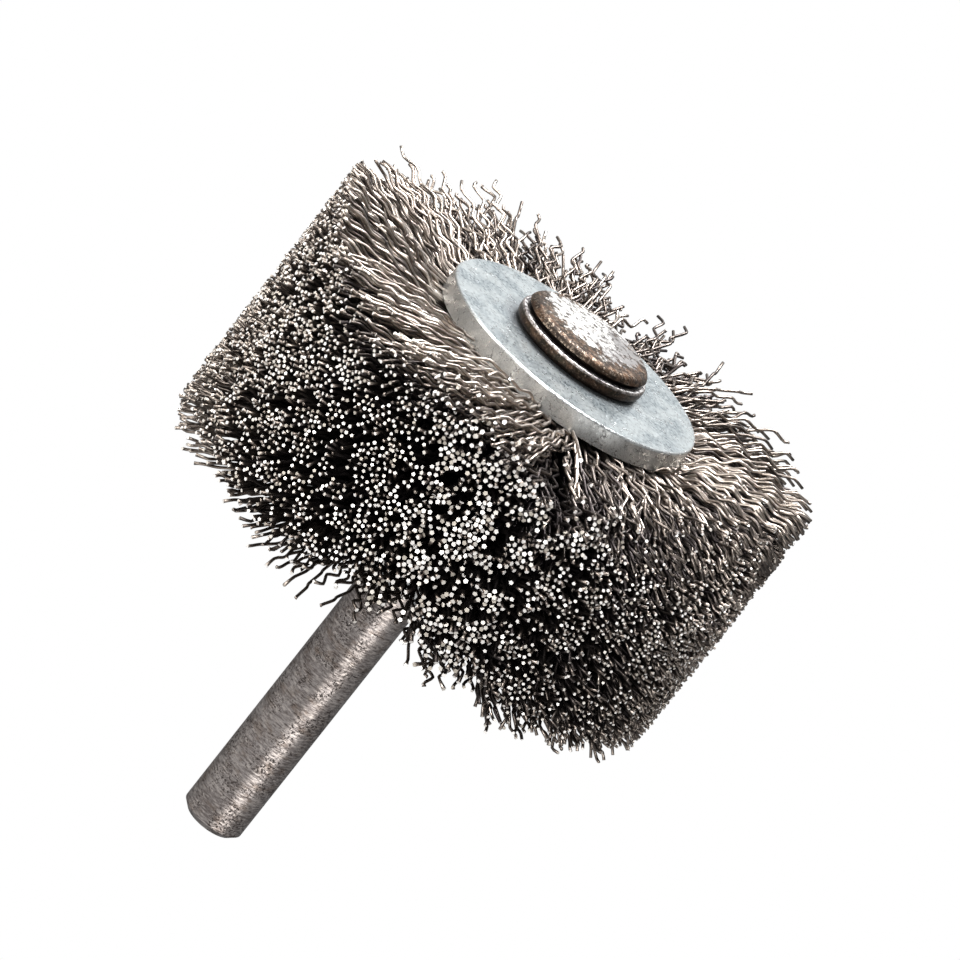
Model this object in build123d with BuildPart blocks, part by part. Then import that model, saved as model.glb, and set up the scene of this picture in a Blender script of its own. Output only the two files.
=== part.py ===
from build123d import *
import os

# Drum-shaped brush of crimped steel wire, riveted on a plain round shank. Millimetres.
# Z is the axis of rotation: z = 0 is the shank's free end, and +Z points out of the riveted front.

# Shank, with the shoulder at the back of the brush and the rivet head at the front
SHANK_RADIUS = 3.0
SHANK_CHAMFER = 0.6
SHANK_CORNER_RADIUS = 0.4
SHOULDER_RADIUS = 5.0
SHOULDER_BOTTOM = 29.9
SHOULDER_TOP = 31.9
SHOULDER_CHAMFER = 0.3
SPIGOT_RADIUS = 3.5

# Flanges and hub
FLANGE_RADIUS = 12.8
FLANGE_THICKNESS = 2.0
FLANGE_EDGE_RADIUS = 0.2
PACK_HEIGHT = 18.6
SLEEVE_RADIUS = 5.5

# Rivet washer and head
RIVET_WASHER_RADIUS = 6.55
RIVET_WASHER_THICKNESS = 1.3
RIVET_WASHER_EDGE_RADIUS = 0.25
RIVET_WASHER_UNDERCUT_RADIUS = 0.65
HEAD_HEIGHT = 1.25
HEAD_SEAT_RADIUS = 5.5
HEAD_RADIUS = 6.2
HEAD_RIM_HEIGHT = 0.5
HEAD_SIDE_RADIUS = 5.95
HEAD_SIDE_HEIGHT = 0.88
HEAD_CROWN_RADIUS = 5.2
HEAD_CROWN_DROP = 0.16

# Wires: they stay parallel between the flanges and fan out to the wider face of the drum
DRUM_RADIUS = 25.0
DRUM_WIDTH = 25.0
SECTION_COUNT = 6
RING_RADIUS = 6.5
RING_WIRE_RADIUS = 0.65
FOLD_SLIT = 0.3

# Levels along the axis
REAR_FLANGE_BOTTOM = SHOULDER_TOP
PACK_BOTTOM = REAR_FLANGE_BOTTOM + FLANGE_THICKNESS
PACK_TOP = PACK_BOTTOM + PACK_HEIGHT
FRONT_FLANGE_TOP = PACK_TOP + FLANGE_THICKNESS
HEAD_BOTTOM = FRONT_FLANGE_TOP + RIVET_WASHER_THICKNESS
HEAD_TOP = HEAD_BOTTOM + HEAD_HEIGHT
DRUM_BOTTOM = (PACK_BOTTOM + PACK_TOP) / 2 - DRUM_WIDTH / 2
ROOT_PITCH = PACK_HEIGHT / SECTION_COUNT
FACE_PITCH = DRUM_WIDTH / SECTION_COUNT


def ring_level(number):
    """Height of the middle of one wire section's root, which is also its core ring's."""
    return PACK_BOTTOM + (number - 0.5) * ROOT_PITCH


def washer(outer_radius, bottom, thickness, lower_edge_radius, upper_edge_radius):
    """Stamped washer on the spigot, its outer edges rounded as the punch leaves them. 0 leaves one sharp."""
    with BuildPart() as blank:
        with BuildSketch(Plane.XY.offset(bottom)):
            Circle(outer_radius)
            Circle(SPIGOT_RADIUS, mode=Mode.SUBTRACT)
        extrude(amount=thickness)
        for end, edge_radius in ((0, lower_edge_radius), (-1, upper_edge_radius)):
            if edge_radius:
                outer_edges = blank.edges().filter_by(GeomType.CIRCLE).group_by(SortBy.RADIUS)[-1]
                fillet(outer_edges.sort_by(Axis.Z)[end], radius=edge_radius)
    return blank.part


def core_ring(number):
    """Closed ring of round wire that one section's wires are folded round."""
    with BuildPart() as ring:
        with BuildSketch(Plane.XZ):
            with Locations((RING_RADIUS, ring_level(number))):
                Circle(RING_WIRE_RADIUS)
        revolve(axis=Axis.Z)
    return ring.part


def wire_section(number):
    """One ring of folded wires: flat-sided between the flanges, then fanned out to the drum's face.

    The core ring lies in a round groove, which a narrow slit between the folds opens to the sleeve.
    """
    root_bottom = PACK_BOTTOM + (number - 1) * ROOT_PITCH
    root_top = root_bottom + ROOT_PITCH
    face_bottom = DRUM_BOTTOM + (number - 1) * FACE_PITCH
    face_top = face_bottom + FACE_PITCH
    with BuildPart() as section:
        with BuildSketch(Plane.XZ):
            with BuildLine():
                Polyline(
                    (SLEEVE_RADIUS, root_bottom),
                    (FLANGE_RADIUS, root_bottom),
                    (DRUM_RADIUS, face_bottom),
                    (DRUM_RADIUS, face_top),
                    (FLANGE_RADIUS, root_top),
                    (SLEEVE_RADIUS, root_top),
                    close=True,
                )
            make_face()
            with Locations((RING_RADIUS, ring_level(number))):
                Circle(RING_WIRE_RADIUS, mode=Mode.SUBTRACT)
            with Locations(((SLEEVE_RADIUS + RING_RADIUS) / 2, ring_level(number))):
                Rectangle(RING_RADIUS - SLEEVE_RADIUS, FOLD_SLIT, mode=Mode.SUBTRACT)
        revolve(axis=Axis.Z)
    return section.part


# Shank: chamfered rod, shoulder, spigot through the hub, and the upset rivet head in one piece
with BuildPart() as shank:
    with BuildSketch(Plane.XZ):
        with BuildLine():
            Polyline(
                (0, 0),
                (SHANK_RADIUS - SHANK_CHAMFER, 0),
                (SHANK_RADIUS, SHANK_CHAMFER),
                (SHANK_RADIUS, SHOULDER_BOTTOM),
                (SHOULDER_RADIUS - SHOULDER_CHAMFER, SHOULDER_BOTTOM),
                (SHOULDER_RADIUS, SHOULDER_BOTTOM + SHOULDER_CHAMFER),
                (SHOULDER_RADIUS, SHOULDER_TOP),
                (SPIGOT_RADIUS, SHOULDER_TOP),
                (SPIGOT_RADIUS, HEAD_BOTTOM),
                (HEAD_SEAT_RADIUS, HEAD_BOTTOM),
                (HEAD_RADIUS, HEAD_BOTTOM + HEAD_RIM_HEIGHT),
            )
            ThreePointArc(
                (HEAD_RADIUS, HEAD_BOTTOM + HEAD_RIM_HEIGHT),
                (HEAD_SIDE_RADIUS, HEAD_BOTTOM + HEAD_SIDE_HEIGHT),
                (HEAD_CROWN_RADIUS, HEAD_TOP - HEAD_CROWN_DROP),
            )
            TangentArc(
                (0, HEAD_TOP),
                (HEAD_CROWN_RADIUS, HEAD_TOP - HEAD_CROWN_DROP),
                tangent=(1, 0),
            )
            Line((0, HEAD_TOP), (0, 0))
        make_face()
    revolve(axis=Axis.Z)
    shank_corner = shank.edges().filter_by(GeomType.CIRCLE).filter_by(
        lambda edge: abs(edge.radius - SHANK_RADIUS) < 0.01 and edge.center().Z > SHANK_CHAMFER + 1
    )
    fillet(shank_corner, radius=SHANK_CORNER_RADIUS)

rear_flange = washer(FLANGE_RADIUS, REAR_FLANGE_BOTTOM, FLANGE_THICKNESS, FLANGE_EDGE_RADIUS, 0)
front_flange = washer(FLANGE_RADIUS, PACK_TOP, FLANGE_THICKNESS, 0, FLANGE_EDGE_RADIUS)
rivet_washer = washer(
    RIVET_WASHER_RADIUS,
    FRONT_FLANGE_TOP,
    RIVET_WASHER_THICKNESS,
    RIVET_WASHER_UNDERCUT_RADIUS,
    RIVET_WASHER_EDGE_RADIUS,
)

# Hub sleeve: the tube that keeps the flanges apart
with BuildPart() as hub_sleeve:
    with BuildSketch(Plane.XY.offset(PACK_BOTTOM)):
        Circle(SLEEVE_RADIUS)
        Circle(SPIGOT_RADIUS, mode=Mode.SUBTRACT)
    extrude(amount=PACK_HEIGHT)

pieces = {
    "shank": shank.part,
    "rear_flange": rear_flange,
    "front_flange": front_flange,
    "rivet_washer": rivet_washer,
    "hub_sleeve": hub_sleeve.part,
}
for number in range(1, SECTION_COUNT + 1):
    pieces[f"core_ring_{number}"] = core_ring(number)
    pieces[f"wire_section_{number}"] = wire_section(number)

os.makedirs("parts", exist_ok=True)
for label, piece in pieces.items():
    piece.label = label
    export_step(piece, f"parts/{label}.step")
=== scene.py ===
import math

import bpy
import numpy as np
from mathutils import Matrix, Vector
from mathutils.kdtree import KDTree


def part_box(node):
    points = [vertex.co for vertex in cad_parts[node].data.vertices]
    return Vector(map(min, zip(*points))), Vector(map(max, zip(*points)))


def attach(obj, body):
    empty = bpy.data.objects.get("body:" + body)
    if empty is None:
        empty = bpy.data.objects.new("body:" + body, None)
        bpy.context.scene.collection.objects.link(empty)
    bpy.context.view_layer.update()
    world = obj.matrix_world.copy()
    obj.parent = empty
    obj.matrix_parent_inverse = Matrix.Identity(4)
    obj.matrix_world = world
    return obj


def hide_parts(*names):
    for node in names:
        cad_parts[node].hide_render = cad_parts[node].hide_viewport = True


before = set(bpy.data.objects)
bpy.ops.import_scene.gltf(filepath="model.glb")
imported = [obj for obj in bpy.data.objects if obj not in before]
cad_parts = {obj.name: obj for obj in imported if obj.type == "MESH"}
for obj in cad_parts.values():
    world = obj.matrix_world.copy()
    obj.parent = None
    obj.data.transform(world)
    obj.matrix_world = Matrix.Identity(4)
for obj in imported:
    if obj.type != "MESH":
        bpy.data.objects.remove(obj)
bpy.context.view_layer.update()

# The looks of a drum-shaped wire brush on a shank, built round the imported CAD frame. Metres.
# Angles round the axis are called "turn": 0 faces the camera (-Y) and +90 degrees is the camera's left (-X).

MM = 0.001
SEED = 20431

flange_low, flange_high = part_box("front_flange")
_, rear_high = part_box("rear_flange")
_, washer_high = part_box("rivet_washer")
SECTIONS = sorted(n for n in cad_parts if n.startswith("wire_section_"))
section_boxes = [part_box(name) for name in SECTIONS]

FLANGE_RADIUS = flange_high.x
PACK_BOTTOM = rear_high.z
PACK_TOP = flange_low.z
DRUM_RADIUS = section_boxes[0][1].x
DRUM_BOTTOM = section_boxes[0][0].z
DRUM_TOP = section_boxes[-1][1].z


# ---------------------------------------------------------------- small helpers

def ramp(value, low, high):
    """0 below low, 1 above high, and smooth in between. high may be the smaller of the two."""
    t = np.clip((value - low) / (high - low), 0.0, 1.0)
    return t * t * (3.0 - 2.0 * t)


def degree_ramp(turn, low, high):
    """ramp for a turn in radians between limits in degrees."""
    return ramp(turn, math.radians(low), math.radians(high))


def side(turn, rise, full, fade, end):
    """1 for turns from full to fade, and smooth down to 0 at rise and end. The limits are in degrees."""
    return degree_ramp(turn, rise, full) * (1.0 - degree_ramp(turn, fade, end))


def unit(vectors):
    """The same vectors with length 1, along the last axis."""
    return vectors / np.maximum(np.linalg.norm(vectors, axis=-1, keepdims=True), 1e-12)


def ripple(rng, turn, level, waves=6, turns=(2, 9), levels=(0.4, 2.5)):
    """A smooth random field of about unit size over the drum, periodic in turn (radians)."""
    total = np.zeros_like(turn)
    for _ in range(waves):
        around = rng.integers(*turns)
        along = rng.uniform(*levels) * rng.choice([-1, 1])
        phase = rng.uniform(0, 2 * math.pi)
        total += np.sin(around * turn + 2 * math.pi * along * level + phase)
    return total / math.sqrt(waves / 2)


# ---------------------------------------------------------------- wires: where each one runs

WIRE_COUNT = 8500
WIRE_RADIUS = 0.145 * MM
CUT_END_RADIUS = 0.226 * MM
SIDE_CUT_END_RADIUS = 0.168 * MM
WIDEST_CUT_ENDS = math.radians(8)
ROOT_RADIUS = 7.3 * MM
CLAMP_RADIUS = FLANGE_RADIUS - 0.3 * MM
PACK_MARGIN = 0.35 * MM

# Sides of the brush: the turns in degrees where each begins, is full, begins to fade and has faded.
# Those on the right are for minus turn.
NOTCH = (-17, -3, 4, 27)
COMBED_SIDE = (-20, -16, 15, 80)
CALM_LEFT = (0, 35, 95, 130)
TUFT_SIDE = (2, 8, 24, 34)
SHOULDER_RIGHT = (18, 34, 66, 96)
FLOW_RIGHT = (52, 88, 125, 150)
NEAR_RIGHT = (8, 20, 45, 65)
FAR_RIGHT = (45, 75, 140, 160)
DIM_RIGHT = (30, 42, 58, 76)

# Bunches of wires at their roots
BUNCH_SIZES = (1, 7)
BUNCH_SPACING = 0.42 * MM
BUNCH_CURL = 0.35
BUNCH_SCATTER = 0.12 * MM
SPARE_BUNCHES = 1.06

# How far the rims' wires stop short of the drum's ends
NEAR_WEAR = 3.4 * MM
RIGHT_WEAR = 0.9 * MM
FAR_LEFT_WEAR = 1.4 * MM
FAR_RIGHT_WEAR = 0.6 * MM
NOTCH_DEPTH = 2.1 * MM

# Leaning round the drum
COMBED_LEAN = math.radians(12)
SWIRL = math.radians(1.5)
LEAN_WAVES = math.radians(0.8)
LEAN_SCATTER = math.radians(1.1)

# Tips: how short some wires are, how the tips scatter, and the strays that stand out.
# Names ending in _MM are in millimetres.
TIP_SHORTFALL = 0.14 * MM
COMBED_SHORTFALL_MM = (0.2, 3.2)
SHORT_SHARE = 0.5
SHORT_BY = 7.0 * MM
SHOULDER_WEAR = 4.2 * MM
TIP_SCATTER = 0.22 * MM
BUNCH_TIP_SCATTER = 0.28 * MM
TIP_WAVES = 0.2 * MM
EDGE_SCATTER = 0.5 * MM
STRAY_SHARE = 0.012
EDGE_STRAY_SHARE = 0.08
TUFT_STRAY_SHARE = 0.35
STRAY_REACH_MM = (0.1, 1.7)
STRAY_LENGTH_MM = (-0.8, 0.3)
STRAY_TURN = math.radians(5)

# Courses of the wires outside the flanges
SIDEWAYS_BOW = 0.35 * MM
UPWARD_BOW = 0.30 * MM
LIFT = 1.5 * MM
BULGE = 2.0 * MM
RIGHT_BULGE = 2.2 * MM
DROOP = 1.5 * MM
DROOP_RANGE = (0.0, 1.9)


def wrap(turn):
    """Turn brought into -pi to pi."""
    return (turn + math.pi) % (2 * math.pi) - math.pi


def bunches(rng):
    """Bunch number, turn and level (0 rear to 1 front) of every wire's root.

    Wires lie in short crooked rows that share their crimp, as they were cut and folded together.
    """
    mean_size = (BUNCH_SIZES[0] + BUNCH_SIZES[1] - 1) / 2
    count = int(WIRE_COUNT / mean_size * SPARE_BUNCHES)
    face_width = DRUM_TOP - DRUM_BOTTOM
    face_length = 2 * math.pi * DRUM_RADIUS
    columns = int(round(math.sqrt(count * face_length / face_width)))
    rows = int(math.ceil(count / columns))
    column, row = np.meshgrid(np.arange(columns), np.arange(rows))
    cells = columns * rows
    centre_turn = (column.ravel() + rng.uniform(0, 1, cells)) / columns * 2 * math.pi
    centre_level = (row.ravel() + rng.uniform(0, 1, cells)) / rows
    sizes = rng.integers(*BUNCH_SIZES, cells)
    bunch = np.repeat(np.arange(cells), sizes)
    place = np.arange(len(bunch)) - np.repeat(np.cumsum(sizes) - sizes, sizes)
    along = (place - (sizes[bunch] - 1) / 2) * BUNCH_SPACING
    heading = rng.uniform(-math.pi, math.pi, cells)[bunch]
    curl = rng.normal(0, BUNCH_CURL, cells)[bunch] * place
    scatter = rng.normal(0, BUNCH_SCATTER, (2, len(bunch)))
    turn = centre_turn[bunch] + (along * np.cos(heading + curl) + scatter[0]) / DRUM_RADIUS
    level = centre_level[bunch] + (along * np.sin(heading + curl) + scatter[1]) / face_width
    kept = rng.permutation(len(bunch))[:WIRE_COUNT]
    return bunch[kept], wrap(turn[kept]), np.clip(np.abs(level[kept]), 0.0, 1.0)


def front_rim(turn):
    """Height of the foremost tips: worn down facing the camera, and lower on the right and behind."""
    near = 1.0 - degree_ramp(np.abs(turn), 42, 80)
    right = degree_ramp(-turn, 66, 88)
    far_left = degree_ramp(turn, 91, 108)
    far_right = degree_ramp(-turn, 105, 130)
    worn_behind = FAR_LEFT_WEAR * far_left + FAR_RIGHT_WEAR * far_right
    return DRUM_TOP - (NEAR_WEAR * near + RIGHT_WEAR * right + worn_behind)


def rear_rim(turn):
    """Height of the rearmost tips, which stop short in front of the shank."""
    return DRUM_BOTTOM + NOTCH_DEPTH * side(turn, *NOTCH)


def sideways_lean(rng, turn, level, bunch):
    """How far round each tip stands from its root, and how much of it is combing.

    The foremost wires left of the parting are combed over.
    """
    combed_side = side(turn, *COMBED_SIDE)
    combed = combed_side * ramp(level, 0.80, 0.95)
    swirl = combed_side * ramp(level, 0.2, 0.8) * SWIRL
    waves = ripple(rng, turn, level) * LEAN_WAVES
    per_bunch = rng.normal(0, LEAN_SCATTER, bunch.max() + 1)[bunch]
    loose = 1.0 + 1.6 * ramp(level, 0.78, 0.95)
    per_wire = rng.normal(0, LEAN_SCATTER, len(turn)) * loose
    return combed * COMBED_LEAN + swirl + waves + per_bunch + per_wire, combed


def tip_places(rng, bunch, turn, level, tip_turn, combed, right_shoulder):
    """Turn, radius and height of every tip, and how far the rounded shoulder shortens its wire."""
    count = len(turn)
    far_side = degree_ramp(np.abs(wrap(tip_turn)), 95, 140)
    edge = ramp(np.abs(level - 0.5), 0.38, 0.5)

    tip_radius = DRUM_RADIUS - np.abs(rng.normal(0, TIP_SHORTFALL, count))
    combed_shortfall = rng.uniform(*COMBED_SHORTFALL_MM, count) * MM
    tip_radius -= combed * combed_shortfall * (1.0 - 0.6 * ramp(tip_turn, 0.7, 1.1))
    far_left = degree_ramp(tip_turn, 35, 60)
    short_share = SHORT_SHARE * edge * (1.0 - 0.8 * np.maximum(far_side, far_left))
    short = rng.uniform(0, 1, count) < short_share
    tip_radius -= short * rng.uniform(0, 1, count) ** 1.3 * SHORT_BY
    worn = right_shoulder * ramp(level, 0.5, 1.05) ** 1.3 * SHOULDER_WEAR
    tip_radius -= worn

    rear, front = rear_rim(wrap(tip_turn)), front_rim(wrap(tip_turn))
    tip_z = rear + (front - rear) * level + rng.normal(0, TIP_SCATTER, count)
    tip_z += rng.normal(0, BUNCH_TIP_SCATTER, bunch.max() + 1)[bunch]
    tip_z += ripple(rng, turn, level, levels=(0.2, 1.2)) * TIP_WAVES
    tip_z += rng.normal(0, EDGE_SCATTER, count) * edge * (0.6 + 0.9 * far_side)

    tuft = side(turn, *TUFT_SIDE) * (1.0 - ramp(level, 0.04, 0.12))
    stray_share = STRAY_SHARE + EDGE_STRAY_SHARE * edge + TUFT_STRAY_SHARE * tuft
    stray = rng.uniform(0, 1, count) < stray_share
    tip_z += stray * np.sign(level - 0.5) * rng.uniform(*STRAY_REACH_MM, count) * MM * edge
    tip_turn = tip_turn + stray * rng.normal(0, STRAY_TURN, count)
    tip_radius += stray * rng.uniform(*STRAY_LENGTH_MM, count) * MM
    return tip_turn, tip_radius, tip_z, worn


def base_paths(rng, bunch, turn, level, samples=20):
    """Centre lines without their crimp, from tip to root: an array of wire, sample, xyz.

    Also returns how much of each wire is combing, and how far the rounded shoulder shortens it.
    """
    count = len(turn)
    lean, combed = sideways_lean(rng, turn, level, bunch)
    tip_turn = turn + lean
    right_shoulder = side(-tip_turn, *SHOULDER_RIGHT)
    tip_turn, tip_radius, tip_z, worn = tip_places(
        rng, bunch, turn, level, tip_turn, combed, right_shoulder
    )

    root_z = PACK_BOTTOM + PACK_MARGIN + (PACK_TOP - PACK_BOTTOM - 2 * PACK_MARGIN) * level
    out = np.linspace(1.0, 0.0, samples)[None, :]
    radius = ROOT_RADIUS + (tip_radius[:, None] - ROOT_RADIUS) * out
    free = np.clip((radius - CLAMP_RADIUS) / (tip_radius[:, None] - CLAMP_RADIUS), 0.0, 1.0)
    bend = rng.uniform(0.8, 1.35, count)[:, None]
    bow = np.sin(math.pi * free)
    path_turn = turn[:, None] + (tip_turn - turn)[:, None] * free ** bend
    path_turn = path_turn + rng.normal(0, SIDEWAYS_BOW, count)[:, None] * bow / radius
    rise = rng.uniform(0.85, 1.25, count)[:, None]
    path_z = root_z[:, None] + (tip_z - root_z)[:, None] * free ** rise
    near_face = 1.0 - degree_ramp(np.abs(wrap(turn)), 20, 75)
    lift = LIFT * near_face * np.sin(math.pi * np.clip(level, 0, 1)) ** 0.7
    path_z = path_z + lift[:, None] * free ** 2.2
    path_z = path_z + rng.normal(0, UPWARD_BOW, count)[:, None] * bow
    right_flow = ramp(level, 0.72, 0.9) * side(-turn, *FLOW_RIGHT)
    raised = BULGE * combed + RIGHT_BULGE * right_flow
    path_z = path_z + raised[:, None] * free ** 0.6 * (1.0 - free)
    drooping = right_shoulder * ramp(level, 0.74, 0.92) * rng.uniform(*DROOP_RANGE, count)
    path_z = path_z - DROOP * drooping[:, None] * free ** 3.5
    x = -radius * np.sin(path_turn)
    y = -radius * np.cos(path_turn)
    return np.stack([x, y, path_z], axis=-1), combed, worn


CRIMP_STEP = 1.4 * MM
CRIMP_CORNERS = 8
CRIMP_ROUNDING = 0.29
CRIMP_HEIGHT = 0.42 * MM
CORNER_SCATTER = 0.06
LEAST_STOP = 0.02
ROOT_GAP = 0.5 * MM
# Length from the root to the point where the nested wires' waves are in step
NEST_LENGTH = 12.7 * MM
NESTED_LEVELS = (0.62, 0.84)
# Steps are parts of CRIMP_STEP, and phases are in steps: two of them are a whole wave. Rolls are in radians.
STEP_RANGE = (0.82, 1.15)
STEP_SCATTER = 0.03
STEP_WAVES = 0.04
PHASE_SCATTER = 0.35
PHASE_WAVES = 0.40
ROLL_SCATTER = 0.5
UPRIGHT_SCATTER = 0.45
LOOSE_ROLL_SCATTER = 0.7
NESTED_ROLL = 1.25
NEAR_RIGHT_ROLL = 0.95
ROLL_WAVES = 0.25
LEAST_HEIGHT = 0.6
MOST_HEIGHT = 1.15


def crimp_waves(rng, bunch, turn, level, combed):
    """Step, phase, roll and height of every wire's crimp.

    The outer wires of the front side nest in one another, so their waves run on from wire to wire. All others
    share their waves with their own bunch only.
    """
    count = len(turn)
    groups = bunch.max() + 1
    behind = degree_ramp(turn, 110, 145) + degree_ramp(-turn, 140, 160)
    nested = ramp(level, *NESTED_LEVELS) * (1.0 - behind)
    own_step = rng.uniform(*STEP_RANGE, groups)[bunch] + rng.normal(0, STEP_SCATTER, count)
    shared_step = 1.0 + STEP_WAVES * ripple(rng, turn, level)
    step = CRIMP_STEP * (own_step + (shared_step - own_step) * nested)

    own_phase = rng.uniform(0, 2, groups)[bunch] + rng.normal(0, PHASE_SCATTER, count)
    phase_waves = ripple(rng, turn, level, turns=(5, 14), levels=(0.5, 3.0))
    near_right = side(-turn, *NEAR_RIGHT)
    calm_left = side(turn, *CALM_LEFT)
    unrest = 0.13 + 0.2 * calm_left + 0.2 * near_right
    shared_phase = 1.0 + PHASE_WAVES * phase_waves + rng.normal(0, 1, count) * unrest
    phase = own_phase + (shared_phase - own_phase) * nested

    roll = rng.uniform(-math.pi, math.pi, groups)[bunch] + rng.normal(0, ROLL_SCATTER, count)
    right = side(-turn, *FAR_RIGHT)
    upright = rng.choice([-0.5, 0.5], groups)[bunch] * math.pi
    upright = upright + rng.normal(0, UPRIGHT_SCATTER, count)
    roll = roll + (upright - roll) * right
    roll = roll + (rng.normal(0, LOOSE_ROLL_SCATTER, count) - roll) * behind * 0.7
    shared_roll = NESTED_ROLL - NEAR_RIGHT_ROLL * near_right + ROLL_WAVES * ripple(rng, turn, level)
    unrest = 0.22 + 0.25 * calm_left + 0.35 * near_right
    shared_roll = shared_roll + rng.normal(0, 1, count) * unrest
    roll = roll + (shared_roll - roll) * nested

    height = CRIMP_HEIGHT * (1.0 - 0.42 * calm_left - 0.18 * right + 0.2 * near_right + 0.3 * behind)
    height = height * (1.0 - 0.45 * combed) * rng.uniform(LEAST_HEIGHT + 0.22 * nested, MOST_HEIGHT)
    return step, phase, roll, height


def crimped(rng, paths, bunch, turn, level, combed):
    """Adds the zigzag crimp to the paths. Returns points from tip to root, and the crimp plane's normals."""
    count = len(paths)
    lengths = np.linalg.norm(np.diff(paths, axis=1), axis=2)
    run = np.concatenate([np.zeros((count, 1)), np.cumsum(lengths, axis=1)], axis=1)
    step, phase, roll, height = crimp_waves(rng, bunch, turn, level, combed)
    place = (run[:, -1] - NEST_LENGTH) / step + phase
    start = np.maximum(place % 1.0, 0.05)
    first_side = 1.0 - 2.0 * (np.floor(place) % 2)

    corners = start[:, None] + np.arange(CRIMP_CORNERS)[None, :]
    corners = corners + rng.normal(0, CORNER_SCATTER, corners.shape)
    stops = np.stack([corners - CRIMP_ROUNDING, corners, corners + CRIMP_ROUNDING], axis=-1)
    stops = stops.reshape(count, -1)
    signs = first_side[:, None] * np.repeat((-1.0) ** np.arange(CRIMP_CORNERS), 3)[None, :]
    flank = 1.0 - 2.0 * CRIMP_ROUNDING
    crest = 1.0 - 0.8 * CRIMP_ROUNDING
    offsets = signs * np.tile([flank, crest, flank], CRIMP_CORNERS)[None, :] * height[:, None]
    slope = np.clip(start, 0.0, 1.0)[:, None]
    tip_offset = first_side[:, None] * height[:, None] * (1.0 - 2.0 * slope)
    stops = np.maximum(stops, LEAST_STOP * (1.0 + np.arange(stops.shape[1])[None, :]))
    stops = np.concatenate([np.zeros((count, 1)), stops], axis=1) * step[:, None]
    offsets = np.concatenate([tip_offset, offsets], axis=1)

    stops = np.concatenate([np.minimum(stops, run[:, -1:] - ROOT_GAP), run[:, -1:]], axis=1)
    offsets = np.concatenate([offsets, np.zeros((count, 1))], axis=1)

    points = np.empty((count, stops.shape[1], 3))
    for wire in range(count):
        for axis in range(3):
            points[wire, :, axis] = np.interp(stops[wire], run[wire], paths[wire, :, axis])

    radius = np.hypot(points[..., 0], points[..., 1])
    freedom = 0.25 + 0.75 * ramp(radius, CLAMP_RADIUS, CLAMP_RADIUS + 1.2 * MM)
    forward = unit(points[:, 0] - points[:, -1])
    across = unit(np.cross(forward, np.array([0.0, 0.0, 1.0])))
    upward = np.cross(across, forward)
    crimp_axis = across * np.cos(roll)[:, None] + upward * np.sin(roll)[:, None]
    plane_normal = np.cross(forward, crimp_axis)
    points = points + (offsets * freedom)[..., None] * crimp_axis[:, None, :]
    return points, plane_normal


# Rounds of moving crowded tips apart: the gap aimed at in millimetres, and how hard they are pushed
TIP_GAPS = (0.95, 0.82, 0.70, 0.62, 0.50, 0.46, 0.43)
TIP_PUSH = (0.08, 0.10, 0.12, 0.16, 0.3, 0.5, 0.5)
LONGEST_PUSH = 0.25
TIP_BEND_LENGTH = 3.5 * MM


def spread_tips(points):
    """Moves crowded tips apart, because every cut end has room of its own, and bends the wires to them."""
    tips = points[:, 0].copy()
    for gap, push in zip(TIP_GAPS, TIP_PUSH):
        gap = gap * MM
        tree = KDTree(len(tips))
        for index, tip in enumerate(tips):
            tree.insert(tip, index)
        tree.balance()
        pushes = np.zeros_like(tips)
        for index, tip in enumerate(tips):
            for _, other, distance in tree.find_range(tip, gap):
                if other != index and distance > 0:
                    pushes[index] += (tip - tips[other]) * push * (gap / distance - 1.0)
        outward = unit(tips * (1.0, 1.0, 0.0))
        pushes -= outward * np.sum(pushes * outward, axis=1, keepdims=True)
        length = np.linalg.norm(pushes, axis=1, keepdims=True)
        tips += pushes * np.minimum(1.0, LONGEST_PUSH * gap / np.maximum(length, 1e-9))
    lengths = np.linalg.norm(np.diff(points, axis=1), axis=2)
    run = np.concatenate([np.zeros((len(points), 1)), np.cumsum(lengths, axis=1)], axis=1)
    share = np.clip(1.0 - run / TIP_BEND_LENGTH, 0.0, 1.0)
    return points + share[..., None] * (tips - points[:, 0])[:, None, :]


# ---------------------------------------------------------------- wires: their meshes

WIRE_SIDES = 5


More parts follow.
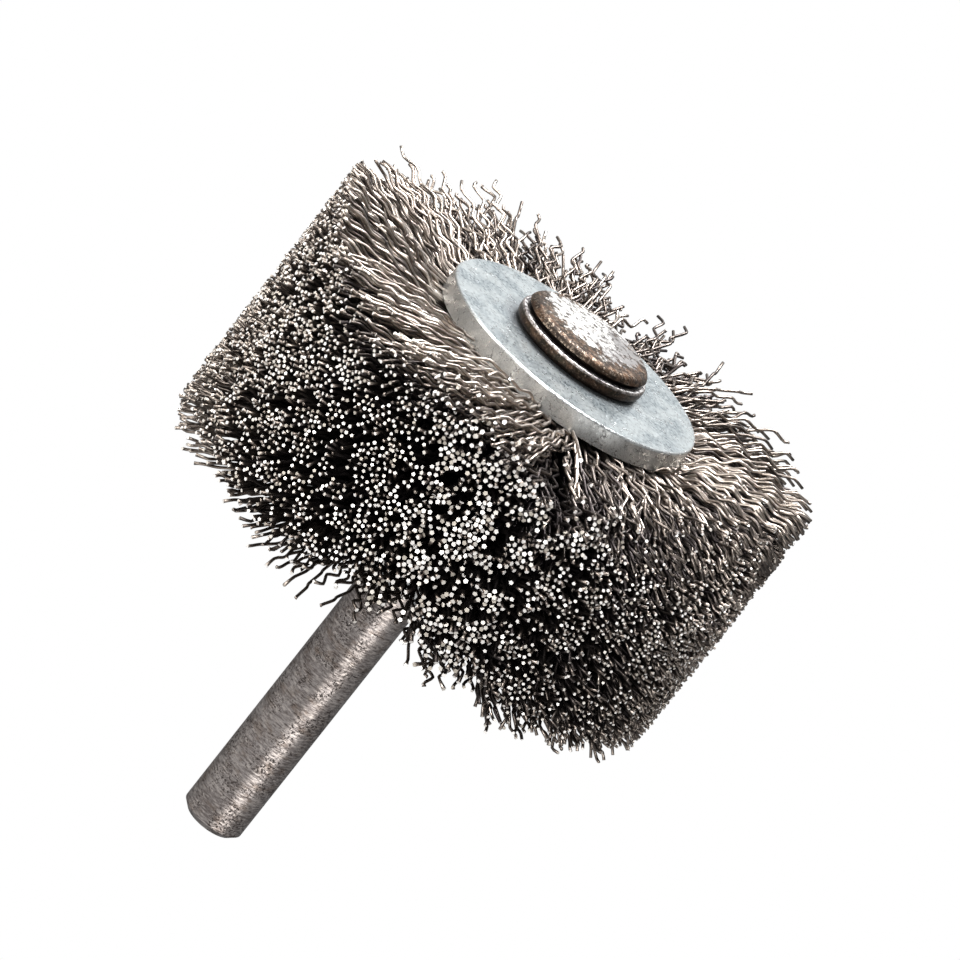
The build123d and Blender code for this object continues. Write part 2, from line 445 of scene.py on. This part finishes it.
def tube_mesh(name, points, normals, tones, cut_tones, cut_radii):
    """One mesh of closed round tubes. tones holds a material index for every wire and segment."""
    count, stations, _ = points.shape
    tangent = unit(np.gradient(points, axis=1))
    flat = normals[:, None, :] - tangent * np.sum(normals[:, None, :] * tangent, axis=2, keepdims=True)
    flat = unit(flat)
    other = np.cross(tangent, flat)
    around = np.arange(WIRE_SIDES) * 2 * math.pi / WIRE_SIDES
    ring = (
        flat[:, :, None, :] * np.cos(around)[None, None, :, None]
        + other[:, :, None, :] * np.sin(around)[None, None, :, None]
    )
    radii = np.full((count, stations), WIRE_RADIUS)
    radii[:, 0] = cut_radii
    vertices = (points[:, :, None, :] + radii[:, :, None, None] * ring).reshape(-1, 3)

    first = (np.arange(count) * stations * WIRE_SIDES)[:, None, None]
    station = (np.arange(stations - 1) * WIRE_SIDES)[None, :, None]
    corner = np.arange(WIRE_SIDES)[None, None, :]
    following = (corner + 1) % WIRE_SIDES
    low = first + station
    high = low + WIRE_SIDES
    quads = np.stack([low + corner, high + corner, high + following, low + following], axis=-1)
    quads = quads.reshape(-1, 4)
    tip_caps = first[:, 0] + np.arange(WIRE_SIDES)[None, :]
    root_caps = first[:, 0] + (stations - 1) * WIRE_SIDES + np.arange(WIRE_SIDES)[None, ::-1]

    loops = np.concatenate([quads.ravel(), tip_caps.ravel(), root_caps.ravel()])
    sizes = np.concatenate([np.full(len(quads), 4), np.full(2 * count, WIRE_SIDES)])
    starts = np.concatenate([[0], np.cumsum(sizes)[:-1]])
    mesh = bpy.data.meshes.new(name)
    mesh.vertices.add(len(vertices))
    mesh.vertices.foreach_set("co", vertices.astype(np.float32).ravel())
    mesh.loops.add(len(loops))
    mesh.loops.foreach_set("vertex_index", loops.astype(np.int32))
    mesh.polygons.add(len(sizes))
    mesh.polygons.foreach_set("loop_start", starts.astype(np.int32))
    smooth = np.concatenate([np.ones(len(quads), bool), np.zeros(2 * count, bool)])
    mesh.polygons.foreach_set("use_smooth", smooth)
    side_tones = np.repeat(tones.ravel(), WIRE_SIDES)
    cap_tones = np.concatenate([cut_tones, tones[:, -1]])
    mesh.polygons.foreach_set("material_index", np.concatenate([side_tones, cap_tones]).astype(np.int32))
    mesh.update(calc_edges=True)
    mesh.validate()
    return mesh


# ---------------------------------------------------------------- materials

def new_material(name):
    """An empty node material and its Principled shader."""
    material = bpy.data.materials.new(name)
    material.use_nodes = True
    return material, material.node_tree, material.node_tree.nodes["Principled BSDF"]


def plain_metal(name, colour, metallic, roughness):
    """A metal of one tone, for pieces whose many tones come from many such materials."""
    material, _, shader = new_material(name)
    shader.inputs["Base Color"].default_value = (*colour, 1.0)
    shader.inputs["Metallic"].default_value = metallic
    shader.inputs["Roughness"].default_value = roughness
    return material


# Tones of drawn steel wire, from darkest to bright: colour and roughness. The darkest tones are painted shade
# deep in the brush.
WIRE_TONES = (
    ((0.058, 0.049, 0.048), 0.52),
    ((0.080, 0.068, 0.064), 0.47),
    ((0.110, 0.094, 0.085), 0.42),
    ((0.15, 0.126, 0.110), 0.40),
    ((0.22, 0.186, 0.162), 0.38),
    ((0.30, 0.256, 0.222), 0.36),
    ((0.39, 0.338, 0.295), 0.35),
    ((0.49, 0.430, 0.378), 0.34),
    ((0.60, 0.538, 0.48), 0.34),
)
# Tone of an outer wire in the open, and how many tones of painted shade darken the deepest wires
MIDDLE_TONE = 5.4
SHADE_DEPTH = 2.4 * MM
SHADE_TONES = 5.6
# How much faster than from the sides the painted shade deepens inward from the face, and how this differs
# round the brush
FACE_SHADE = 1.6
NEAR_FACE_SHADE = 2.2
LEFT_FACE_RELIEF = 0.9
NEAR_FACE_RIGHT = 0.7
# Tones of painted light and shade, by which whole areas are lighter or darker as the lamps fall on them
RIGHT_FACE_DIMMING = 0.45
FAR_SIDE_DIMMING = 0.8
COMBED_BRIGHTNESS = 0.55
FRONT_BRIGHTNESS = 0.45
RIGHT_FRONT_BRIGHTNESS = 0.15
NEAR_RIGHT_FRONT_DIMMING = 0.9
# Tones by which bunches, wires and their segments scatter
BUNCH_TONE_SCATTER = 0.7
WIRE_TONE_SCATTER = 0.9
FRONT_TONE_SCATTER = 0.3
SEGMENT_TONE_SCATTER = 0.4

# Tones of the cut ends, from bright to dull: colour and how many of the ends have it
CUT_TONES = (
    ((0.90, 0.87, 0.83), 0.60),
    ((0.72, 0.68, 0.62), 0.28),
    ((0.46, 0.42, 0.36), 0.12),
)
CUT_METALLIC = 0.25
CUT_ROUGHNESS = 0.5


def wire_materials():
    """The wire tones, and after them the cut ends' tones."""
    tones = [
        plain_metal(f"wire_tone_{i}", colour, 1.0, roughness)
        for i, (colour, roughness) in enumerate(WIRE_TONES)
    ]
    cut_ends = [
        plain_metal(f"wire_cut_end_{i}", colour, CUT_METALLIC, CUT_ROUGHNESS)
        for i, (colour, _) in enumerate(CUT_TONES)
    ]
    return tones + cut_ends


def segment_tones(rng, points, bunch, turn, level, combed, worn):
    """A tone for every wire and segment. Painted shade makes wires darker the deeper they lie, and painted
    light and shade make whole sides lighter or darker.
    """
    middle = (points[:, :-1] + points[:, 1:]) / 2
    radius = np.hypot(middle[..., 0], middle[..., 1])
    spread = ramp(radius, CLAMP_RADIUS, DRUM_RADIUS)
    width = (PACK_TOP - PACK_BOTTOM) * (1 - spread) + (DRUM_TOP - DRUM_BOTTOM) * spread
    from_left = degree_ramp(turn, 25, 70)[:, None]
    from_near = 1.0 - degree_ramp(np.where(turn < 0, -NEAR_FACE_RIGHT * turn, turn), 22, 50)[:, None]
    shade = FACE_SHADE - LEFT_FACE_RELIEF * from_left + NEAR_FACE_SHADE * from_near
    from_face = (DRUM_RADIUS - worn[:, None] - radius) * shade
    far_side = degree_ramp(np.abs(turn), 105, 150)
    right_half = degree_ramp(-turn, 8, 25) * (1.0 - far_side)
    side_shade = 1 - 0.7 * combed + 0.9 * right_half
    from_side = width * (np.minimum(level, 1 - level) * side_shade)[:, None]
    depth = np.minimum(from_face, from_side)

    front_face = ramp(level, 0.82, 0.94)
    right = degree_ramp(-turn, 35, 60) * (1.0 - far_side)
    near_right = degree_ramp(-turn, 8, 20) * (1.0 - right)
    own = MIDDLE_TONE + rng.normal(0, BUNCH_TONE_SCATTER, bunch.max() + 1)[bunch]
    own += rng.normal(0, 1, len(bunch)) * (WIRE_TONE_SCATTER + FRONT_TONE_SCATTER * front_face)
    # Painted light and shade: the right face, the far side and the near right of the front face are darker;
    # the combed wires and the rest of the front face are lighter.
    own -= RIGHT_FACE_DIMMING * side(-turn, *DIM_RIGHT) * ramp(level, 0.15, 0.4) * (1 - front_face)
    own += COMBED_BRIGHTNESS * combed - FAR_SIDE_DIMMING * far_side
    front = FRONT_BRIGHTNESS + RIGHT_FRONT_BRIGHTNESS * right - NEAR_RIGHT_FRONT_DIMMING * near_right
    own += front_face * front * (1 - combed)
    # Painted shade: tones drop with depth below the face and the sides.
    shaded = SHADE_TONES * (1 - np.exp(-depth / SHADE_DEPTH))
    tone = own[:, None] - shaded + rng.normal(0, SEGMENT_TONE_SCATTER, depth.shape)
    return np.clip(np.round(tone), 0, len(WIRE_TONES) - 1).astype(int)


def cut_end_radii(turn):
    """Radius of every cut end: widest on the near face, and no wider than the wire behind."""
    to_side = degree_ramp(np.abs(turn + WIDEST_CUT_ENDS), 5, 25)
    to_side = to_side * (1.0 + 0.45 * degree_ramp(-turn, 25, 50))
    to_back = degree_ramp(np.abs(turn), 80, 105)
    radii = CUT_END_RADIUS + (SIDE_CUT_END_RADIUS - CUT_END_RADIUS) * to_side
    return radii + (WIRE_RADIUS - radii) * to_back


def build_wires():
    """Every wire, as two pieces for each CAD section: the legs in front of its core ring and behind it."""
    rng = np.random.default_rng(SEED)
    bunch, turn, level = bunches(rng)
    order = np.argsort(level)
    bunch, turn, level = bunch[order], turn[order], level[order]
    paths, combed, worn = base_paths(rng, bunch, turn, level)
    points, normals = crimped(rng, paths, bunch, turn, level, combed)
    points = spread_tips(points)
    tones = segment_tones(rng, points, bunch, turn, level, combed, worn)
    shares = [share for _, share in CUT_TONES]
    cut_tones = len(WIRE_TONES) + rng.choice(len(CUT_TONES), len(turn), p=shares)
    cut_radii = cut_end_radii(turn)
    materials = wire_materials()
    piece_count = 2 * len(SECTIONS)
    bounds = np.linspace(0, len(turn), piece_count + 1).astype(int)
    for index in range(piece_count):
        section = SECTIONS[index // 2]
        leg = ("rear_legs", "front_legs")[index % 2]
        part = slice(bounds[index], bounds[index + 1])
        mesh = tube_mesh(
            f"{section}_{leg}", points[part], normals[part], tones[part], cut_tones[part], cut_radii[part]
        )
        for material in materials:
            mesh.materials.append(material)
        piece = bpy.data.objects.new(mesh.name, mesh)
        bpy.context.scene.collection.objects.link(piece)
        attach(piece, "root")
        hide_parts(section)


build_wires()


# ---------------------------------------------------------------- metal parts

class Look:
    """One patterned metal, built node by node. Positions are in millimetres of the part's frame."""

    def __init__(self, name):
        self.material, self.tree, self.shader = new_material(name)
        place = self.tree.nodes.new("ShaderNodeTexCoord").outputs["Object"]
        self.place = self.stretch(place, (1 / MM,) * 3)
        parts = self.node("ShaderNodeSeparateXYZ", {"Vector": self.place})
        self.x, self.y, self.z = parts.outputs[0], parts.outputs[1], parts.outputs[2]
        self.radius = self.math("SQRT", self.math("ADD", self.square(self.x), self.square(self.y)))

    def node(self, kind, inputs):
        """A node with its inputs linked or set, by name or number."""
        new = self.tree.nodes.new(kind)
        for key, value in inputs.items():
            if isinstance(value, bpy.types.NodeSocket):
                self.tree.links.new(value, new.inputs[key])
            else:
                new.inputs[key].default_value = value
        return new

    def stretch(self, vector, factors):
        new = self.node("ShaderNodeVectorMath", {0: vector, 1: factors})
        new.operation = "MULTIPLY"
        return new.outputs["Vector"]

    def math(self, operation, first, second=0.0):
        new = self.node("ShaderNodeMath", {0: first, 1: second})
        new.operation = operation
        return new.outputs[0]

    def square(self, value):
        return self.math("MULTIPLY", value, value)

    def times(self, *factors):
        product = factors[0]
        for factor in factors[1:]:
            product = self.math("MULTIPLY", product, factor)
        return product

    def grade(self, value, low, high, to_low=0.0, to_high=1.0):
        """value carried smoothly from low..high to to_low..to_high, and held at both ends."""
        new = self.node("ShaderNodeMapRange", {0: value, 1: low, 2: high, 3: to_low, 4: to_high})
        new.interpolation_type = "SMOOTHSTEP"
        return new.outputs[0]

    def noise(self, fineness, detail=3.0, roughness=0.55):
        """Noise whose features repeat fineness times in a millimetre along x, y and z."""
        place = self.stretch(self.place, fineness)
        new = self.node(
            "ShaderNodeTexNoise", {"Vector": place, "Scale": 1.0, "Detail": detail, "Roughness": roughness}
        )
        return new.outputs["Fac"]

    def mix(self, factor, first, second):
        """A colour between first and second."""
        new = self.tree.nodes.new("ShaderNodeMix")
        new.data_type = "RGBA"
        for key, value in ((0, factor), (6, first), (7, second)):
            if isinstance(value, bpy.types.NodeSocket):
                self.tree.links.new(value, new.inputs[key])
            else:
                new.inputs[key].default_value = (*value, 1.0) if key else value
        return new.outputs[2]

    def surface(self, colour, roughness, metallic, height, relief):
        """Links the finished pattern to the shader. relief is the depth of the height map in millimetres."""
        bump = self.node("ShaderNodeBump", {"Height": height, "Distance": relief * MM, "Strength": 1.0})
        self.tree.links.new(bump.outputs[0], self.shader.inputs["Normal"])
        self.tree.links.new(colour, self.shader.inputs["Base Color"])
        self.tree.links.new(roughness, self.shader.inputs["Roughness"])
        self.shader.inputs["Metallic"].default_value = metallic
        return self.material


# Heights and radii for the looks, in millimetres
SEAT = washer_high.z / MM
COLLAR_EDGE = washer_high.x / MM
RIM = FLANGE_RADIUS / MM


def zinc_look():
    """Pale blue-grey zinc plate: mottled, pitted here and there, with shear marks round the edge. Painted
    shade darkens the rim towards its left end, and a painted shadow lies round the rivet washer, deepest on
    its near-left side.
    """
    look = Look("zinc_plate")
    cloud = look.noise((0.35, 0.35, 0.35), 4.0)
    grain = look.noise((3.5, 3.5, 3.5), 2.0)
    fine = look.noise((9.0, 9.0, 9.0), 2.0)
    shear = look.noise((8.0, 8.0, 0.5), 3.0, 0.6)
    on_rim = look.grade(look.radius, RIM - 0.35, RIM - 0.05)
    pale = look.mix(look.grade(cloud, 0.38, 0.62), (0.225, 0.26, 0.275), (0.43, 0.46, 0.46))
    pale = look.mix(look.grade(grain, 0.38, 0.66, 0.0, 0.6), pale, (0.52, 0.555, 0.56))
    rim = look.mix(look.grade(shear, 0.3, 0.7), (0.38, 0.395, 0.39), (0.45, 0.46, 0.455))
    rim = look.mix(look.grade(fine, 0.40, 0.60, 0.0, 0.7), rim, (0.58, 0.59, 0.58))
    # Painted shade: the rim darkens towards its left end.
    rim = look.mix(look.grade(look.x, -6.0, -12.5, 0.0, 0.5), rim, (0.26, 0.275, 0.275))
    # Painted shadow of the collar and head on the plate round them, deepest on the near-left side.
    shadow_side = look.math("ADD", look.times(look.x, -0.5), look.times(look.y, -0.85))
    collar_shadow = look.times(look.grade(look.radius, 8.3, 6.5), look.grade(shadow_side, -3.0, 5.0, 0.15, 0.75))
    collar_shadow = look.times(collar_shadow, look.grade(cloud, 0.3, 0.7, 0.6, 1.0))
    pale = look.mix(collar_shadow, pale, (0.10, 0.105, 0.12))
    colour = look.mix(on_rim, pale, rim)
    pitted_area = look.grade(look.noise((0.32, 0.32, 0.32), 2.0), 0.45, 0.58)
    to_the_right = look.grade(look.x, 2.0, 8.0)
    pits = look.grade(look.noise((3.0, 3.0, 3.0), 4.0, 0.65), 0.58, 0.63)
    pits = look.times(pits, pitted_area, to_the_right)
    specks = look.grade(look.noise((1.4, 1.4, 1.4), 5.0, 0.7), 0.70, 0.73)
    specks = look.times(specks, look.grade(look.noise((0.3, 0.3, 0.3), 2.0), 0.50, 0.58, 0.0, 0.45))
    squiggle = look.math("ABSOLUTE", look.math("SUBTRACT", look.noise((0.7, 0.7, 0.7), 3.0), 0.5))
    scratches = look.times(
        look.grade(squiggle, 0.014, 0.004), look.grade(look.noise((0.4, 0.4, 0.4), 1.0), 0.50, 0.57)
    )
    dark = look.math("MAXIMUM", pits, look.math("MAXIMUM", specks, scratches))
    colour = look.mix(look.times(dark, 0.8), colour, (0.09, 0.08, 0.075))
    gloss = look.grade(grain, 0.3, 0.7, 0.27, 0.36)
    roughness = look.math("ADD", gloss, look.times(dark, 0.2))
    marks = look.math("ADD", look.times(fine, 0.12), look.times(shear, on_rim, 0.12))
    height = look.math("SUBTRACT", marks, dark)
    return look.surface(colour, roughness, 0.85, height, 0.016)


def collar_look():
    """Dark brown oxidised steel, worn bright along its top edge, with a painted highlight there too. Painted
    shade darkens the lower side and the top face next to the head.
    """
    look = Look("brown_steel")
    patch = look.noise((0.9, 0.9, 0.9), 4.0)
    grain = look.noise((5.0, 5.0, 5.0), 3.0)
    blots = look.noise((2.2, 2.2, 2.2), 4.0, 0.7)
    colour = look.mix(look.grade(patch, 0.35, 0.65), (0.024, 0.019, 0.012), (0.075, 0.043, 0.028))
    colour = look.mix(look.grade(blots, 0.45, 0.60, 0.0, 0.75), colour, (0.016, 0.012, 0.010))
    colour = look.mix(look.grade(grain, 0.56, 0.66, 0.0, 0.5), colour, (0.26, 0.19, 0.14))
    # The bright top edge is wear and a painted highlight together.
    near_top = look.grade(look.z, SEAT - 0.3, SEAT - 0.14)
    worn_and_lit_edge = look.times(near_top, look.grade(look.radius, COLLAR_EDGE - 0.43, COLLAR_EDGE - 0.25))
    worn = look.times(worn_and_lit_edge, look.grade(look.noise((3.2, 3.2, 3.2), 3.0), 0.40, 0.58, 0.2, 0.9))
    # Painted shade: the lower part of the side is darkened.
    low = look.grade(look.z, SEAT - 1.05, SEAT - 0.6, 1.0, 0.0)
    colour = look.mix(look.times(low, 0.7), colour, (0.02, 0.014, 0.01))
    colour = look.mix(worn, colour, (0.46, 0.42, 0.40))
    top_face = look.grade(look.z, SEAT - 0.06, SEAT - 0.02)
    flakes = look.grade(look.noise((3.0, 3.0, 3.0), 3.0, 0.7), 0.42, 0.56)
    scale_and_shade = look.mix(flakes, (0.06, 0.05, 0.055), (0.62, 0.60, 0.58))
    # Painted shade: the top face is darkened next to the head, under its overhang.
    shade_under_head = look.grade(look.radius, COLLAR_EDGE - 0.5, COLLAR_EDGE - 0.7)
    scale_and_shade = look.mix(shade_under_head, scale_and_shade, (0.03, 0.025, 0.028))
    colour = look.mix(top_face, colour, scale_and_shade)
    roughness = look.grade(grain, 0.3, 0.7, 0.32, 0.55)
    return look.surface(colour, roughness, 0.9, grain, 0.03)


def shank_look():
    """Turned steel with fine rings, pits and brown stains. Its head is brown, rubbed bright on the crown,
    with painted shade low on its side.
    """
    look = Look("shank_steel")
    rings = look.noise((1.3, 1.3, 6.0), 3.0, 0.65)
    broad = look.noise((0.16, 0.16, 0.5), 3.0)
    stain = look.noise((0.5, 0.5, 0.9), 5.0, 0.65)
    grain = look.noise((6.0, 6.0, 6.0), 2.0)
    steel = look.mix(look.grade(broad, 0.35, 0.65), (0.28, 0.248, 0.234), (0.43, 0.39, 0.372))
    steel = look.mix(look.grade(rings, 0.48, 0.66, 0.0, 0.75), steel, (0.70, 0.63, 0.58))
    steel = look.mix(look.grade(rings, 0.50, 0.36, 0.0, 0.75), steel, (0.15, 0.125, 0.115))
    steel = look.mix(look.grade(stain, 0.50, 0.66, 0.0, 0.5), steel, (0.22, 0.16, 0.12))
    dark_rings = look.times(
        look.grade(look.noise((1.6, 1.6, 8.0), 3.0, 0.65), 0.55, 0.61), look.grade(stain, 0.42, 0.56)
    )
    pits = look.grade(look.noise((3.8, 3.8, 5.0), 3.0, 0.7), 0.52, 0.58)
    pits = look.times(pits, look.grade(look.noise((0.4, 0.4, 0.4), 3.0), 0.44, 0.56, 0.15, 1.0))
    steel = look.mix(look.times(dark_rings, 0.8), steel, (0.07, 0.055, 0.048))
    steel = look.mix(look.times(pits, 0.9), steel, (0.035, 0.028, 0.025))

    patch = look.noise((0.55, 0.55, 0.55), 4.0, 0.6)
    spots = look.noise((1.7, 1.7, 1.7), 4.0, 0.7)
    fine_spots = look.noise((4.0, 4.0, 4.0), 3.0, 0.7)
    brown = look.mix(look.grade(patch, 0.38, 0.62), (0.032, 0.024, 0.018), (0.105, 0.061, 0.037))
    brown = look.mix(look.grade(spots, 0.46, 0.56, 0.0, 0.85), brown, (0.020, 0.015, 0.012))
    brown = look.mix(look.grade(fine_spots, 0.54, 0.62, 0.0, 0.6), brown, (0.34, 0.27, 0.21))
    # Painted shade: the head's side darkens towards its bottom.
    shaded_low_side = look.grade(look.z, SEAT + 0.15, SEAT + 0.5, 1.0, 0.0)
    brown = look.mix(look.times(shaded_low_side, 0.8), brown, (0.022, 0.016, 0.013))
    rub_x, rub_y = look.math("SUBTRACT", look.x, 0.1), look.math("SUBTRACT", look.y, 1.1)
    rub_centre = look.math("SQRT", look.math("ADD", look.square(rub_x), look.square(rub_y)))
    ragged = look.math("ADD", look.grade(patch, 0.3, 0.7, -1.0, 1.0), look.grade(spots, 0.3, 0.7, -0.8, 0.8))
    ragged = look.math("ADD", ragged, look.grade(fine_spots, 0.3, 0.7, -0.5, 0.5))
    rubbed = look.grade(look.math("ADD", rub_centre, ragged), 4.7, 4.0)
    dull_end = look.grade(look.math("ADD", look.x, ragged), 0.6, 2.0)
    crown = look.mix(dull_end, (0.80, 0.78, 0.75), (0.40, 0.38, 0.37))
    crown = look.mix(look.grade(spots, 0.53, 0.57, 0.0, 0.9), crown, (0.07, 0.05, 0.04))
    flecked = look.grade(fine_spots, 0.60, 0.66, 0.0, 0.6)
    crown = look.mix(flecked, crown, (0.13, 0.10, 0.085))
    head = look.mix(rubbed, brown, crown)
    on_head = look.grade(look.z, SEAT - 0.1, SEAT - 0.05)
    colour = look.mix(on_head, steel, head)
    turned = look.grade(rings, 0.35, 0.65, 0.36, 0.28)
    roughness = look.math("ADD", turned, look.times(pits, 0.2))
    browned = look.times(on_head, look.math("SUBTRACT", 1.0, rubbed))
    roughness = look.math("ADD", roughness, look.times(browned, 0.14))
    off_head = look.math("SUBTRACT", 1.0, on_head)
    sunk = look.math("MAXIMUM", pits, look.times(dark_rings, 0.5))
    cut = look.math("SUBTRACT", look.times(rings, 0.6), sunk)
    height = look.math("ADD", look.times(cut, off_head), look.times(patch, on_head, 14.0))
    return look.surface(colour, roughness, 0.92, height, 0.0045)


def hub_look():
    """Plain drawn steel of the hidden hub parts, with a little oily staining."""
    look = Look("hub_steel")
    stain = look.noise((0.7, 0.7, 0.7), 4.0)
    grain = look.noise((4.0, 4.0, 4.0), 2.0)
    colour = look.mix(look.grade(stain, 0.35, 0.65), (0.10, 0.085, 0.075), (0.26, 0.24, 0.22))
    return look.surface(colour, look.grade(grain, 0.3, 0.7, 0.35, 0.55), 0.95, grain, 0.015)


def give(material, *nodes):
    """Puts one material on CAD nodes."""
    for node in nodes:
        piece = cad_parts[node]
        piece.data.materials.clear()
        piece.data.materials.append(material)


give(zinc_look(), "front_flange", "rear_flange")
give(collar_look(), "rivet_washer")
give(shank_look(), "shank")
give(hub_look(), "hub_sleeve", *[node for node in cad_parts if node.startswith("core_ring_")])


# ---------------------------------------------------------------- stage, light and camera

CAMERA_ELEVATION = math.radians(17.775)
CAMERA_ROLL = math.radians(38.3)
CAMERA_DISTANCE = 570.755 * MM
CAMERA_LENS = 246.375
CAMERA_AIM = Vector((0.0, 0.0, 32.5 * MM))
CAMERA_SLIDE = (4.70 * MM, 5.72 * MM)
FLOOR_REACH = 30.0


def build_floor():
    """A plain white floor that shines evenly, so that it takes no shadow."""
    mesh = bpy.data.meshes.new("floor")
    corners = [(x * FLOOR_REACH, y * FLOOR_REACH, 0) for x, y in ((-1, -1), (1, -1), (1, 1), (-1, 1))]
    mesh.from_pydata(corners, [], [(0, 1, 2, 3)])
    floor = bpy.data.objects.new("floor", mesh)
    floor.location.z = -0.1 * MM
    bpy.context.scene.collection.objects.link(floor)
    material = bpy.data.materials.new("floor_white")
    material.use_nodes = True
    tree = material.node_tree
    tree.nodes.clear()
    out = tree.nodes.new("ShaderNodeOutputMaterial")
    glow = tree.nodes.new("ShaderNodeEmission")
    glow.inputs["Color"].default_value = (1, 1, 1, 1)
    tree.links.new(glow.outputs[0], out.inputs["Surface"])
    mesh.materials.append(material)
    floor.visible_diffuse = False
    floor.visible_glossy = False
    floor.visible_shadow = False


# Strength of the fill light from above, and from below on the near side and on the far side. It changes
# with a direction's Y between the near and far values, and with its Z between below and above.
FILL_ABOVE = 0.17
FILL_BELOW_NEAR = 0.45
FILL_BELOW_FAR = 0.20
FILL_OVER_Y = (-0.4, 0.7)
FILL_OVER_Z = (-0.15, 0.05)


def build_world():
    """White behind the object for the camera. For the rest a dim fill, brighter from below and in front."""
    world = bpy.data.worlds.new("studio")
    bpy.context.scene.world = world
    world.use_nodes = True
    tree = world.node_tree
    tree.nodes.clear()
    out = tree.nodes.new("ShaderNodeOutputWorld")
    mix = tree.nodes.new("ShaderNodeMixShader")
    path = tree.nodes.new("ShaderNodeLightPath")
    fill = tree.nodes.new("ShaderNodeBackground")
    white = tree.nodes.new("ShaderNodeBackground")
    heading = tree.nodes.new("ShaderNodeSeparateXYZ")
    below = tree.nodes.new("ShaderNodeMapRange")
    level = tree.nodes.new("ShaderNodeMapRange")
    tree.links.new(tree.nodes.new("ShaderNodeTexCoord").outputs["Generated"], heading.inputs[0])
    tree.links.new(heading.outputs["Y"], below.inputs[0])
    tree.links.new(heading.outputs["Z"], level.inputs[0])
    for index, value in enumerate((*FILL_OVER_Y, FILL_BELOW_NEAR, FILL_BELOW_FAR), 1):
        below.inputs[index].default_value = value
    for index, value in ((1, FILL_OVER_Z[0]), (2, FILL_OVER_Z[1]), (4, FILL_ABOVE)):
        level.inputs[index].default_value = value
    tree.links.new(below.outputs[0], level.inputs[3])
    fill.inputs["Color"].default_value = (0.97, 0.98, 1.0, 1)
    tree.links.new(level.outputs[0], fill.inputs["Strength"])
    white.inputs["Color"].default_value = (1, 1, 1, 1)
    tree.links.new(path.outputs["Is Camera Ray"], mix.inputs[0])
    tree.links.new(fill.outputs[0], mix.inputs[1])
    tree.links.new(white.outputs[0], mix.inputs[2])
    tree.links.new(mix.outputs[0], out.inputs["Surface"])


# Name, turn and elevation in degrees, distance, width and height in metres, watts, colour
LIGHTS = (
    ("front_light", 16, 24, 1.2, 0.65, 0.65, 15, (1, 1, 1)),
    ("top_light", 165, 72, 0.9, 0.55, 0.4, 26, (0.97, 0.98, 1.0)),
    ("back_screen", 180, 22, 1.1, 1.4, 0.7, 1.8, (0.97, 0.99, 1.0)),
    ("low_right", -42, -20, 0.9, 0.68, 0.35, 1.75, (1.0, 0.98, 0.96)),
    ("left_fill", 72, 22, 1.0, 0.4, 0.8, 7.0, (1.0, 0.97, 0.93)),
)


def soft_box(name, turn, elevation, distance, width, height, watts, colour):
    """A rectangular soft light, turned and raised round the drum's middle and facing it."""
    light = bpy.data.lights.new(name, "AREA")
    light.shape = "RECTANGLE"
    light.size = width
    light.size_y = height
    light.energy = watts
    light.color = colour
    box = bpy.data.objects.new(name, light)
    bpy.context.scene.collection.objects.link(box)
    centre = Vector((0, 0, (DRUM_BOTTOM + DRUM_TOP) / 2))
    a, e = math.radians(turn), math.radians(elevation)
    back = Vector((-math.sin(a) * math.cos(e), -math.cos(a) * math.cos(e), math.sin(e)))
    box.location = centre + back * distance
    box.rotation_mode = "QUATERNION"
    box.rotation_quaternion = (-back).to_track_quat("-Z", "Y")
    box.visible_camera = False


def build_camera():
    """The camera looks down at the brush a little and is rolled, so that the axis leans to the right."""
    data = bpy.data.cameras.new("camera")
    data.sensor_width = 36.0
    data.lens = CAMERA_LENS
    data.clip_start = 0.05
    data.clip_end = 100.0
    camera = bpy.data.objects.new("camera", data)
    bpy.context.scene.collection.objects.link(camera)
    back = Vector((0.0, -math.cos(CAMERA_ELEVATION), math.sin(CAMERA_ELEVATION)))
    level_right = Vector((1.0, 0.0, 0.0))
    level_up = back.cross(level_right)
    right = level_right * math.cos(CAMERA_ROLL) + level_up * math.sin(CAMERA_ROLL)
    up = level_up * math.cos(CAMERA_ROLL) - level_right * math.sin(CAMERA_ROLL)
    place = CAMERA_AIM + back * CAMERA_DISTANCE + right * CAMERA_SLIDE[0] + up * CAMERA_SLIDE[1]
    camera.matrix_world = Matrix(
        (
            (right.x, up.x, back.x, place.x),
            (right.y, up.y, back.y, place.y),
            (right.z, up.z, back.z, place.z),
            (0, 0, 0, 1),
        )
    )
    bpy.context.scene.camera = camera


build_floor()
build_world()
for light in LIGHTS:
    soft_box(*light)
build_camera()
bpy.context.scene.view_settings.view_transform = "Standard"
